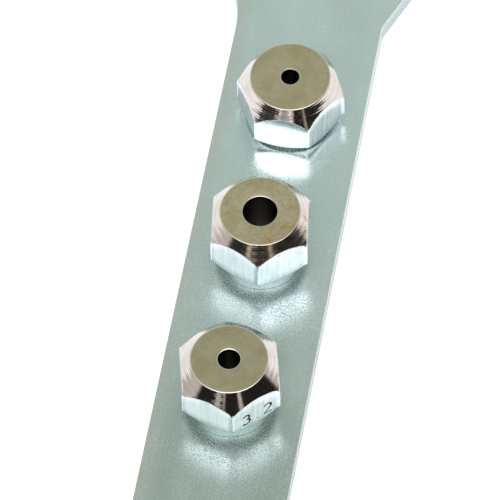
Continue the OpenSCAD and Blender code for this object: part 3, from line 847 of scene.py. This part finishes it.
clip_loop = (arc((0, 0), clip_outer, 90 + mouth, 450 - mouth, 48)
             + arc((0, 0), clip_shoulder, 450 - mouth, 450 - nip, 5)[1:]
             + arc((0, 0), clip_inner, 450 - nip, 90 + nip, 40)
             + arc((0, 0), clip_shoulder, 90 + nip, 90 + mouth, 5)[:-1])
dress(stamped("pivot_spring_clip", clip_loop, [], clip_high.z - clip_low.z, 0.06 * mm,
              Matrix.Translation((pivot.x, pivot.y, clip_high.z))),
      "pivot_clip", bright_finish("clip_steel", (0.20, 0.20, 0.21), 0.25))

# The fitted nosepiece is turned and plated like the spares, for 4.0 mm rivets. It is screwed into the
# nose with its collar against the casting's faced end, and its own face is the origin.
fitted_collar, fitted_hexagon, fitted_cone = 0.5 * mm, 3.2 * mm, 2.2 * mm
z_to_x = Matrix.Rotation(math.radians(90), 4, "Y")
nose_place = (Matrix.Translation((-(fitted_collar + fitted_hexagon + fitted_cone), 0, 0)) @ z_to_x
              @ Matrix.Rotation(math.radians(30), 4, "Z"))
dress(nosepiece("fitted_nosepiece_40", bore=1.45 * mm, collar=fitted_collar, hexagon=fitted_hexagon,
                cone=fitted_cone, face=4.2 * mm, place=nose_place, number="4.0", flat=1, tone=1.0, stain=0.2),
      "nosepiece_40")

# The jaw train runs on the nose axis: a case with a coned mouth, two toothed jaws, the pusher that spreads them,
# and the grooved sleeve, all hardened; all but the pusher are blacked and oiled, the pusher is bright. A thin nut
# locks the case.
oiled = bright_finish("blacked_steel", (0.17, 0.17, 0.175), 0.22)
case_rounding, jaw_rounding = 0.2 * mm, 0.12 * mm
for name, node, rounding in (("jaw_case_body", "jaw_case", case_rounding),
                             ("jaw_half_upper", "jaw_upper", jaw_rounding),
                             ("jaw_half_lower", "jaw_lower", jaw_rounding),
                             ("grooved_pull_sleeve", "pull_sleeve", case_rounding)):
    dress(softened(name, node, rounding), node, oiled)
dress(softened("jaw_spreader", "jaw_pusher", 0.15 * mm), "jaw_pusher",
      bright_finish("spreader_steel"))
dress(softened("case_lock_nut", "lock_nut", 0.25 * mm), "lock_nut",
      bright_finish("nut_steel"))


# Both springs are wound from round wire with closed ends. The big one returns the sleeve, the small
# one keeps the pusher against the jaws.
def coil(name, start, end, radius, wire_radius, turns, place):
    """Round wire wound along the place's Z from start to end, the first and last turns lying closed."""
    end_turn = 0.8
    steps = int(turns * 40)
    turn_at = np.linspace(0, 1, steps + 1) * turns
    closed = np.clip(turn_at - end_turn, 0, None) - np.clip(turn_at - (turns - end_turn), 0, None)
    lift = wire_radius * 2 * 0.45
    ends = np.clip(turn_at / end_turn, 0, 1) + np.clip((turn_at - turns + end_turn) / end_turn, 0, 1)
    rise = (start + wire_radius + closed / closed.max() * (end - start - 2 * wire_radius - 2 * lift)
            + lift * ends)
    angle = turn_at * 2 * math.pi
    out = np.stack([np.cos(angle), np.sin(angle), 0 * angle], 1)
    ring_angles = np.linspace(0, 2 * math.pi, 14, endpoint=False)
    points = []
    for i in range(steps + 1):
        for a in ring_angles:
            height = rise[i] + math.sin(a) * wire_radius
            points.append(out[i] * (radius + math.cos(a) * wire_radius) + np.array([0, 0, height]))
    n = len(ring_angles)
    faces = [(i * n + k, (i + 1) * n + k, (i + 1) * n + (k + 1) % n, i * n + (k + 1) % n)
             for i in range(steps) for k in range(n)]
    faces += [tuple(range(n)), tuple(range(steps * n + n - 1, steps * n - 1, -1))]
    mesh = bpy.data.meshes.new(name)
    mesh.from_pydata([tuple(p) for p in points], [], faces)
    mesh.transform(place)
    return smooth(placed(name, mesh), 60)


def spring_between(name, node, wire_radius, turns):
    """A coil wound over the node's length along X, standing in for the node."""
    low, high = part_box(node)
    piece = coil(name, low.x, high.x, high.z - wire_radius, wire_radius, turns, z_to_x)
    piece.data.materials.append(bright_finish(name + "_wire", (0.46, 0.47, 0.50), 0.15))
    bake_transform(piece)
    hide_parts(node)


spring_between("sleeve_return_spring", "return_spring", 0.8 * mm, 6.6)
spring_between("jaw_pusher_spring", "pusher_spring", 0.45 * mm, 8.4)

# The rear cap is turned from steel bar and blacked. It screws into the barrel, where it holds the
# return spring, and its rim is knurled for the fingers.
cap_low, cap_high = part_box("rear_cap")
cap_bore, cap_thread, cap_rim, cap_chamfer = 4.2 * mm, 10.75 * mm, cap_high.z, 0.3 * mm
cap_seat = cap_high.x - 4 * mm + 0.05 * mm
knurl_teeth, knurl_depth = 64, 0.4 * mm
knurl_low, knurl_high = cap_low.x + 0.7 * mm, cap_seat - 0.5 * mm


def knurl(angles, height, radius):
    """How far the rim's teeth dip at those angles, and 0 elsewhere on the cap."""
    on_rim = knurl_low < height < knurl_high and radius > cap_rim - knurl_depth
    teeth = np.abs(np.mod(angles * knurl_teeth / (2 * math.pi), 1) - 0.5) * 2 - 1
    return teeth * knurl_depth if on_rim else 0


rim_steps = [(x, cap_rim) for x in np.linspace(knurl_low + 0.05 * mm, knurl_high - 0.05 * mm, 6)]
cap_profile = ([(cap_low.x, cap_bore + cap_chamfer), (cap_low.x, cap_rim - 3 * mm),
                (cap_low.x + 0.25 * mm, cap_rim - 1.0 * mm), (knurl_low, cap_rim - 0.45 * mm)] + rim_steps
               + [(knurl_high, cap_rim - 0.42 * mm), (cap_seat, cap_rim - 0.5 * mm), (cap_seat, cap_thread),
                  (cap_high.x - cap_chamfer, cap_thread), (cap_high.x, cap_thread - cap_chamfer),
                  (cap_high.x, cap_bore), (cap_low.x + cap_chamfer, cap_bore)])
dress(turned_piece("knurled_rear_cap", cap_profile, [z_to_x], columns=384, ripple=knurl),
      "rear_cap", bright_finish("cap_blacking", (0.09, 0.09, 0.095), 0.25))

# The bail is one piece of 2.5 mm spring wire, bright zinc, its ends turned in through the fixed
# handle's end. It swings over the lever's lip to hold the handles shut, and the spanner hangs on it.
bail_hinge = joint_point("bail_swing")
wire_radius, bail_bend, inner_end = 1.25 * mm, 2 * mm, 6.7 * mm
bail_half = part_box("bail")[1].z - wire_radius
cross = hang_hole.to_2d() - bail_hinge.to_2d()
bail_length, bail_angle = cross.length, math.atan2(cross.y, cross.x)
corner_a = [(bail_bend - bail_bend * math.cos(a), bail_half - bail_bend + bail_bend * math.sin(a))
            for a in np.linspace(0, math.pi / 2, 10)]
corner_b = [(bail_length - x, z) for x, z in corner_a[::-1]]
half_path = [(0, inner_end)] + corner_a + corner_b
bail_path = half_path + [(x, -z) for x, z in half_path[::-1]]
bail_mesh = curve_mesh("bail_wire", [[(x, 0, z) for x, z in bail_path]], dimensions="3D",
                       bevel_depth=wire_radius, bevel_resolution=6, use_fill_caps=True)
bail_place = Matrix.Translation((bail_hinge.x, bail_hinge.y, 0)) @ Matrix.Rotation(bail_angle, 4, "Z")
dress(smooth(placed("bail_wire", bail_mesh, bail_place)), "bail",
      bright_finish("bail_zinc", (0.66, 0.68, 0.68), 0.18))
